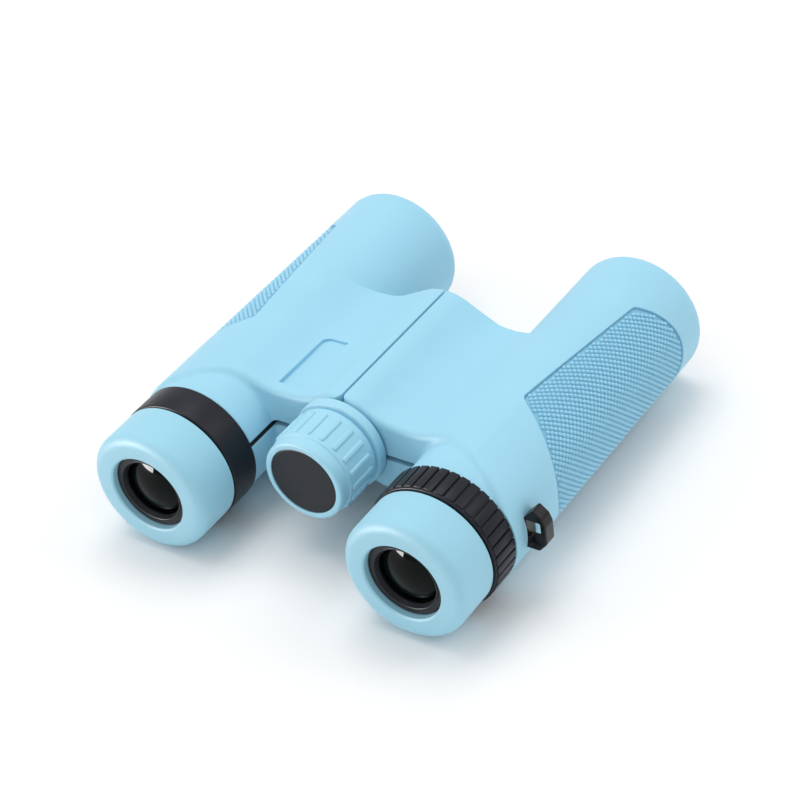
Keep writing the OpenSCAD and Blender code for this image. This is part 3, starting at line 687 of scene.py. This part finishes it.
def makeSkin():
    right = skinBlank("rightSkin")
    mouth = barrelRadius - skin["noseDepth"] - 0.3
    hard = barrelRadius - skin["wall"]
    bodyEnd = frontStation - skin["wall"]
    combined(right, lathe("core", [
        (0, neckStart - 3), (hard, neckStart - 3), (hard, bodyEnd), (mouth, bodyEnd),
        (mouth, frontStation + 1), (0, frontStation + 1)], barrelX * mm, axisZ, 128))
    inner = (skin["bridgeStart"] + skin["wall"], bridgeEnd - skin["wall"])
    combined(right, extruded("hollow", innerSection(skin["wall"]), *inner))
    for radius, start, end in hingeHoles:
        outline = [(0, start), (radius, start), (radius, end), (0, end)]
        combined(right, lathe("hingeHole", outline, 0, hingeZ, 64))
    combined(right, slotTool())
    combined(right, gripPlate("gripPocket", 0, grip["floor"], 18))
    left = mirrored(right, "leftSkin")
    combined(left, labelTool())
    combined(right, extruded("lugPocket", lugOutline(), *stationsOf("right_strap_lug")))
    plate = gripPlate("rightGrip", grip["groove"], grip["floor"], grip["level"])
    beads = gripBeads("beads")
    # painted shade: the groove floor takes the darker rubber, the beads the plain skin rubber
    plate.data.materials.append(finishes["grooves"])
    beads.data.materials.append(finishes["skin"])
    plate = joined([plate, beads])
    finished(right, "right_half", "skin", "right_armour")
    finished(left, "left_half", "skin", "left_armour")
    finished(mirrored(plate, "leftGrip"), "left_half", "skin")
    finished(plate, "right_half", "skin")
    print("skin:", len(right.data.polygons), "faces, grip:", len(plate.data.polygons), "faces")


label = {"outer": 20.0, "inner": 13.5, "start": 35.4, "length": 20.0, "depth": 0.6, "corner": 2.2}


def labelTool():  # a shallow wedge: deep at its outer and front walls, running out at the others
    low, high = axisZ / mm + skin["topRise"] - label["depth"], axisZ / mm + 30
    end = label["start"] + label["length"]
    points = rounded([(-label["outer"], label["start"]), (-label["inner"], label["start"]),
                      (-label["inner"], end), (-label["outer"], end, label["corner"])])
    piece = traced("labelRecess", [Vector((x * mm, at(s), low * mm)) for x, s in points])
    bpy.ops.mesh.edge_face_add()
    bpy.ops.mesh.extrude_region_move(TRANSFORM_OT_translate={"value": (0, 0, (high - low) * mm)})
    bpy.ops.mesh.select_all(action="SELECT")
    bpy.ops.mesh.normals_make_consistent(inside=False)
    return closeEditing(piece)


makeSkin()


# ---- eyepieces ----

cup = {"hole": 9.9, "lip": 0.45, "edge": 3.0, "radius": 15.8, "bore": 13.6, "face": 3.4, "turns": 128}


def makeCup(label, side):
    name = label + "Cup"
    length = stationsOf(label + "_eyecup")[1]
    x = side * barrelX * mm
    piece = lathe(name, [
        (cup["hole"], cup["face"]), (cup["hole"], 0.35, 0.3), (cup["hole"] + cup["lip"], 0.0, 0.2),
        (cup["radius"], 0, cup["edge"]), (cup["radius"], length, 0.35), (cup["bore"], length, 0.2),
        (cup["bore"], cup["face"])], x, axisZ, cup["turns"])
    grooves = ringOf(bar("key", (side * barrelX - 1.1, at(4.5) / mm, axisZ / mm + 12.9),
                         (side * barrelX + 1.1, at(length + 1) / mm, axisZ / mm + 14.3)), 3, x, axisZ)
    return finished(combined(piece, grooves), label + "_eyecup", "cup", label + "_eyecup")


def makeEyepiece(label, side):
    x = side * barrelX * mm
    body = label + "_half"
    finished(lathe(label + "EyeTube", [
        (7.95, 1.6), (9.7, 1.6, 0.25), (9.7, 4.35), (12.38, 4.35, 0.2), (12.38, 31.05), (10.4, 31.05),
        (10.4, 12), (8.54, 12), (8.54, 3.2), (7.95, 3.2)], x, axisZ, 96),
        body, "hard_body", label + "_eyepiece_tube")
    finished(lathe(label + "EyeRing", [
        (8.46, 1.45, 0.15), (8.46, 3.0), (7.5, 3.0, 0.15), (7.5, 2.6, 0.2),
        (8.05, 1.45, 0.25)], x, axisZ, 96), body, "black_trim", label + "_eye_ring")
    finished(makeLens(label + "EyeLens", x, 8.48, 4.2, 7.2, -2.8, 1.2), body, "coated_glass",
             label + "_eye_lens")
    fieldBody = "left_half" if side < 0 else "diopter_cell"
    finished(makeLens(label + "FieldLens", x, 8.98, 15.75, 18.3, -0.9, 0.9), fieldBody, "coated_glass",
             label + "_field_lens")


def makeLens(name, x, radius, rear, front, rearSag, frontSag, steps=14):  # two domes and a ground edge
    shares = [k / steps for k in range(steps + 1)]
    rearFace = [(radius * k / steps, rear + rearSag * (1 - shares[k] ** 2)) for k in range(steps + 1)]
    frontFace = [(radius * k / steps, front + frontSag * (1 - shares[k] ** 2)) for k in range(steps, -1, -1)]
    return lathe(name, rearFace + frontFace, x, axisZ, 72, angle=40)


def makeBand():
    start, end = stationsOf("left_band")
    finished(lathe("leftBand", [(12.45, start), (16.0, start, 0.45), (16.0, end, 0.45), (12.45, end)],
                   -barrelX * mm, axisZ, 128), "left_half", "black_trim", "left_band")


ring = {"radius": 16.0, "land": 16.5, "lands": 38, "width": 2.2, "rim": 16.22, "rimWidth": 0.85}


def makeDiopterRing():  # a ring with flat lands, a plain rim next to the eyecup, and thin grooves
    start, end = stationsOf("right_diopter_ring")
    x = barrelX * mm
    base = lathe("diopterRing", [
        (12.47, start), (ring["rim"], start, 0.3), (ring["rim"], start + ring["rimWidth"], 0.2),
        (ring["radius"], start + ring["rimWidth"] + 0.15), (ring["radius"], end, 0.3), (12.47, end),
        (12.47, 19.25), (13.6, 19.25), (13.6, 14.8), (12.47, 14.8)], x, axisZ, 152)
    half = ring["width"] / 2
    land = bar("land", (barrelX - half, at(start + 0.55) / mm, axisZ / mm + ring["radius"] - 0.6),
               (barrelX + half, at(end - 0.12) / mm, axisZ / mm + ring["land"]), 0.2, 3)
    combined(base, ringOf(land, ring["lands"], x, axisZ), "UNION")
    finished(base, "diopter_ring", "black_trim", "right_diopter_ring")


for label_, side_ in sides.items():
    makeCup(label_, side_)
    makeEyepiece(label_, side_)
makeBand()
makeDiopterRing()
print("eyepieces made")


# ---- focus knob and hinge ----

knob = {
    "radius": 10.9, "rim": 10.5, "edge": 2.6, "collarRadius": 11.7, "collarWidth": 2.7, "ribs": 19,
    "ribWidth": 1.4, "ribHeight": 0.45, "ribStart": 18.5, "ribEnd": 26.4, "hole": 8.9,
}


def makeKnob():
    start, end = stationsOf("focus_knob")
    collar = end - knob["collarWidth"]
    body = lathe("knobSkin", [
        (knob["hole"], start + 0.25), (knob["hole"], start, 0.15), (knob["rim"], start, knob["edge"]),
        (knob["rim"] + 0.05, start + 3.1, 0.3), (knob["radius"], start + 3.35, 0.3),
        (knob["radius"], collar - 0.55, 0.1), (knob["radius"] - 0.4, collar - 0.45),
        (knob["radius"] - 0.4, collar - 0.05),
        (knob["radius"] - 0.1, collar, 0.1), (knob["collarRadius"], collar + 0.1, 0.45),
        (knob["collarRadius"], end, 0.3), (knob["hole"], end)], 0, hingeZ, 152)
    half = knob["ribWidth"] / 2
    top = hingeZ / mm + knob["radius"]
    rib = bar("rib", (-half, at(knob["ribStart"]) / mm, top - 0.8),
              (half, at(knob["ribEnd"]) / mm, top + knob["ribHeight"]), 0.42, 4)
    combined(body, ringOf(rib, knob["ribs"], 0, hingeZ), "UNION", 50)
    finished(body, "focus_knob", "knob_skin", "focus_knob")


def makeKnobDisc():
    start, end = stationsOf("knob_disc")
    finished(lathe("knobDisc", [
        (0, start + 0.03), (8.5, start, 0.4), (8.84, start + 0.14, 0.1), (8.84, end, 0.1),
        (0, end)], 0, hingeZ, 96), "focus_knob", "black_trim", "knob_disc")


def makeHingeCap():
    start, end = stationsOf("hinge_cap")
    finished(lathe("hingeCap", [(0, start), (5.98, start), (5.98, end - 0.15, 0.6), (4.6, end, 0.3),
                                (4.3, end - 0.25, 0.2), (0, end - 0.25)], 0, hingeZ, 72),
             "left_half", "gloss_trim", "hinge_cap")


makeKnob()
makeKnobDisc()
makeHingeCap()
print("knob and hinge cap made")


# ---- objectives ----

def makeObjective(label, side):
    x = side * barrelX * mm
    start, end = stationsOf(label + "_objective_ring")
    finished(lathe(label + "ObjectiveRing", [
        (11.7, start), (13.16, start), (13.16, end, 0.1), (12.9, end, 0.1), (12.7, end - 0.4, 0.1),
        (12.4, end - 0.4, 0.1), (12.2, end - 0.8, 0.1), (11.95, end - 0.8, 0.1)], x, axisZ, 96),
        label + "_half", "inner_black", label + "_objective_ring")
    low, high = stationsOf(label + "_objective_lens")
    finished(makeLens(label + "ObjectiveLens", x, 11.98, low, high - 0.9, 0, 0.9, 18),
             label + "_half", "front_glass", label + "_objective_lens")


# ---- strap lug ----

def makeLug():
    start, end = stationsOf("right_strap_lug")
    piece = extruded("rightLug", lugOutline(), start, end)
    low, high = axisZ / mm + lug["low"] + lug["arm"], axisZ / mm + lug["high"] - lug["arm"]
    combined(piece, bar("lugHole", (barrelX + lug["holeX"], at(start - 1) / mm, low),
                        (barrelX + lug["reach"] - lug["rail"], at(end + 1) / mm, high), 0.35, 3))
    choose(piece)
    edge = piece.modifiers.new("edges", "BEVEL")
    edge.width, edge.segments, edge.limit_method = lug["bevel"] * mm, 3, "ANGLE"
    edge.use_clamp_overlap, edge.angle_limit = False, math.radians(60)
    bpy.ops.object.modifier_apply(modifier=edge.name)
    bpy.ops.object.shade_smooth_by_angle(angle=math.radians(40))
    finished(piece, "right_half", "gloss_trim", "right_strap_lug")


for label_, side_ in sides.items():
    makeObjective(label_, side_)
makeLug()
print("objectives and lug made")


# ---- stage ----

view = {
    "azimuth": 36.89, "elevation": 37.18, "roll": 7.34, "lens": 113.8, "sensor": 36,
    "aside": 0.28788, "behind": 0.32887, "above": 0.38107,
}
studio = {"world": 0.66, "key": 5.6, "side": 0.9, "back": 1.5, "glint": 11.0, "floor": 0.95}


def makeFloor():
    clearAll()
    bpy.ops.mesh.primitive_plane_add(size=8, location=(0, 0, 0))
    floor = bpy.context.object
    floor.name = "floor"
    made, wire, place = newFinish("paleFloor")
    cloud = grain(wire, place, 6, 2)
    tone = studio["floor"]
    surface(wire, made, {"Base Color": between(wire, cloud, (tone, tone, tone), (tone + 0.02,) * 3),
                         "Roughness": 0.9, "Specular IOR Level": 0.2})
    floor.data.materials.append(made)


def makeLight(name, place, size, power, aim=(0, 0, 0.02), colour=(1, 1, 1)):
    data = bpy.data.lights.new(name, "AREA")
    data.shape, data.size, data.size_y, data.energy = "RECTANGLE", size[0], size[1], power
    data.color = colour
    lamp = bpy.data.objects.new(name, data)
    bpy.context.scene.collection.objects.link(lamp)
    lamp.location = place
    lamp.rotation_euler = (Vector(aim) - Vector(place)).to_track_quat("-Z", "Y").to_euler()
    return lamp


def makeGlint():  # a bright panel low at the left, for the lenses to mirror
    lamp = makeLight("glintLight", (-0.42, -0.52, 0.09), (0.3, 0.18), studio["glint"], (0, rearY, 0.02))
    lamp.visible_diffuse = False


def makeCamera():
    azimuth, elevation, roll = [math.radians(view[key]) for key in ("azimuth", "elevation", "roll")]
    back = Vector((math.sin(azimuth) * math.cos(elevation), -math.cos(azimuth) * math.cos(elevation),
                   math.sin(elevation)))
    right = Vector((math.cos(azimuth), math.sin(azimuth), 0))
    down = (-back).cross(right)
    acrossX = math.cos(roll) * right + math.sin(roll) * down
    acrossY = math.sin(roll) * right - math.cos(roll) * down
    data = bpy.data.cameras.new("camera")
    data.lens, data.sensor_width = view["lens"], view["sensor"]
    data.clip_start, data.clip_end = 0.01, 20
    camera = bpy.data.objects.new("camera", data)
    bpy.context.scene.collection.objects.link(camera)
    spot = Matrix((acrossX, acrossY, back)).transposed().to_4x4()
    spot.translation = (view["aside"], rearY - view["behind"], view["above"])
    camera.matrix_world = spot
    bpy.context.scene.camera = camera


def makeWorld():
    world = bpy.data.worlds.new("studio")
    bpy.context.scene.world = world
    world.use_nodes = True
    world.node_tree.nodes["Background"].inputs["Color"].default_value = (1, 1, 1, 1)
    world.node_tree.nodes["Background"].inputs["Strength"].default_value = studio["world"]


makeFloor()
makeWorld()
makeCamera()
makeLight("keyLight", (-0.25, 0.15, 1.1), (0.9, 0.7), studio["key"])
makeLight("sideLight", (-0.9, -0.7, 0.55), (0.5, 0.7), studio["side"])
makeLight("backLight", (0.7, 0.5, 0.9), (0.5, 0.5), studio["back"])
makeGlint()
bpy.context.scene.view_settings.view_transform = "Standard"
print("stage made")
